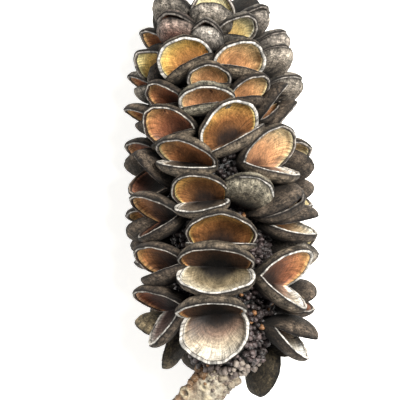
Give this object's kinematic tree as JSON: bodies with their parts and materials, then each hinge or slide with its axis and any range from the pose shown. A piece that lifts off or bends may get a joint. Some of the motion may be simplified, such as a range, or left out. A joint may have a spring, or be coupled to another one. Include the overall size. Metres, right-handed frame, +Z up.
{
  "type": "banksia cone",
  "caption": "Woody banksia seed cone lying on its back, with open two-valved follicles packed round a bract-covered core and a cut stem.",
  "frame": {"origin": "centre of the cone's bounding box in X and Y, on the plane that it lies on", "axes": "+Y along the cone from the stem to the tip, +X the cone's right side, +Z up, towards the side seen in the picture"},
  "size_m": [0.0735, 0.1707, 0.0744],
  "materials": {
    "grey_brown_wood": "matt, velvety and weathered, with smooth tan linings inside the follicles",
    "pale_bark": "matt rough bark"
  },
  "bodies": {
    "root": {"cone": "grey_brown_wood", "stem": "pale_bark"}
  },
  "joints": []
}
